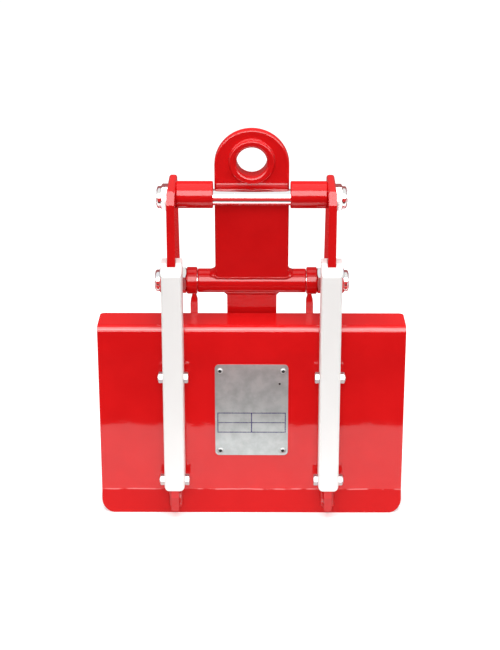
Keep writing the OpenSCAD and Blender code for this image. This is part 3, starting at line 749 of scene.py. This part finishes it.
def add_floor():
    """Pale floor that keeps the shadow. Away from the clamp it looks white but sends back little light."""
    half = 30
    white_back = 0.10
    glow_level = 0.32
    mesh = bpy.data.meshes.new("floor")
    corners = [(-half, -half, 0), (half, -half, 0), (half, half, 0), (-half, half, 0)]
    mesh.from_pydata(corners, [], [(0, 1, 2, 3)])
    floor = bpy.data.objects.new("floor", mesh)
    bpy.context.scene.collection.objects.link(floor)
    f = Finish("floor")
    y = f.axes()[1]
    seen = seen_directly(f)
    near = (y > white_edge) * (y < white_back)
    tone = f.mix(f.math("MAXIMUM", near, seen), (0.14, 0.14, 0.14, 1), (0.90, 0.90, 0.90, 1))
    chalk = f.node("ShaderNodeBsdfDiffuse", None, {"Color": tone})
    glow = f.node("ShaderNodeEmission", None, {"Strength": seen * glow_level})
    both = f.node("ShaderNodeAddShader", None, {0: chalk, 1: glow})
    f.node("ShaderNodeOutputMaterial", None, {"Surface": both})
    mesh.materials.append(f.material)


def add_sky(level, seen_level):
    """White surroundings, a little weaker for the light that they cast than to look at."""
    world = bpy.data.worlds.new("studio")
    world.use_nodes = True
    bpy.context.scene.world = world
    tree = world.node_tree
    tree.nodes.clear()
    path = tree.nodes.new("ShaderNodeLightPath")
    first = tree.nodes.new("ShaderNodeMath")
    tree.links.new(path.outputs["Is Camera Ray"], first.inputs[0])
    tree.links.new(path.outputs["Is Glossy Ray"], first.inputs[1])
    second = tree.nodes.new("ShaderNodeMath")
    tree.links.new(first.outputs[0], second.inputs[0])
    tree.links.new(path.outputs["Is Transmission Ray"], second.inputs[1])
    strength = tree.nodes.new("ShaderNodeMapRange")
    tree.links.new(second.outputs[0], strength.inputs["Value"])
    strength.inputs["To Min"].default_value = level
    strength.inputs["To Max"].default_value = seen_level
    sky = tree.nodes.new("ShaderNodeBackground")
    sky.inputs["Color"].default_value = (1, 1, 1, 1)
    tree.links.new(strength.outputs[0], sky.inputs["Strength"])
    out = tree.nodes.new("ShaderNodeOutputWorld")
    tree.links.new(sky.outputs[0], out.inputs["Surface"])


def soft_box(name, width, height, power):
    """Rectangular lamp that neither the camera nor the gloss sees."""
    light = bpy.data.lights.new(name, "AREA")
    light.shape = "RECTANGLE"
    light.size = width
    light.size_y = height
    light.energy = power
    lamp = bpy.data.objects.new(name, light)
    lamp.visible_camera = False
    lamp.visible_glossy = False
    bpy.context.scene.collection.objects.link(lamp)
    return lamp


def add_lamps():
    """Lamp in front, a wide bright screen just behind it that only the gloss sees, and a lamp above."""
    rise = math.radians(30)
    distance = 1.6
    aim_z = 0.32
    lamp_h = 1.05
    front = soft_box("soft_lamp", width=0.62, height=lamp_h, power=9.0)
    front.location = (0.0, face_y - distance * math.cos(rise), aim_z + distance * math.sin(rise))
    front.rotation_euler = (math.radians(90) - rise, 0, 0)
    half_w = 2.6
    half_h = lamp_h / 2 * np.array([0.0, math.sin(rise), math.cos(rise)])
    screen_low = -1.3
    screen_high = 1
    behind = np.array([0, 0.01, 0])
    places = ((-half_w, screen_low), (half_w, screen_low), (half_w, screen_high), (-half_w, screen_high))
    corners = [np.array(front.location) - behind + x * right + z * half_h for x, z in places]
    card("wide_screen", corners, (1, 1, 1, 1), strength=6.6)
    above = soft_box("top_lamp", width=1.2, height=0.8, power=21.0)
    above.location = (0.0, -0.35, 1.9)


def lying(half, front, rear):
    """Corners of a card that lies just above the floor."""
    lift = 1 * mm
    return [(-half, front, lift), (half, front, lift), (half, rear, lift), (-half, rear, lift)]


def upright(half, y, bottom, top):
    """Corners of a card that stands across the view."""
    return [(-half, y, bottom), (half, y, bottom), (half, y, top), (-half, y, top)]


def wavy_lying(half, front, rear):
    """Corners of a lying card whose rear edge waves before the clamp: two sines on a slight slope."""
    corners = lying(half, front, rear)
    lift = corners[0][2]
    x = np.linspace(0.4, -0.4, 161)
    slow = 2.6 * mm * np.sin(x / (9 * mm) + 2.0)
    quick = 1.8 * mm * np.sin(x / (3.7 * mm))
    y = rear + slow + quick + 0.006 * x
    hem = [(a, b, lift) for a, b in zip(x.tolist(), y.tolist())]
    return corners[:3] + hem + corners[3:]


def add_cards():
    """Cards in front of the clamp and behind it that its gloss mirrors."""
    fold = face_y - 0.45
    far = face_y - 2.2
    flag_top = 0.40
    haze_top = 0.60
    half = 3
    back_half = 4
    back_near = 0.12
    back_far = 1.2
    back_top = 2.5
    dark = (0.16, 0.06, 0.06, 1)
    red = (0.85, 0.05, 0.05, 1)
    pink = (0.90, 0.38, 0.38, 1)
    deep_red = (0.60, 0.03, 0.03, 1)
    dull_red = (0.45, 0.145, 0.145, 1)
    card("front_dark", wavy_lying(half, fold, white_edge), dark)
    card("front_red", lying(half, far, fold), red)
    card("front_flag", upright(half, far, 0, flag_top), red)
    card("front_haze", upright(half, far, flag_top, haze_top), pink)
    card("back_dark", lying(back_half, back_near, back_far), deep_red)
    card("back_card", upright(back_half, back_far, 0, back_top), dull_red)


add_floor()
add_sky(level=0.78, seen_level=1.0)
add_lamps()
add_cards()
bpy.context.scene.view_settings.view_transform = "Standard"
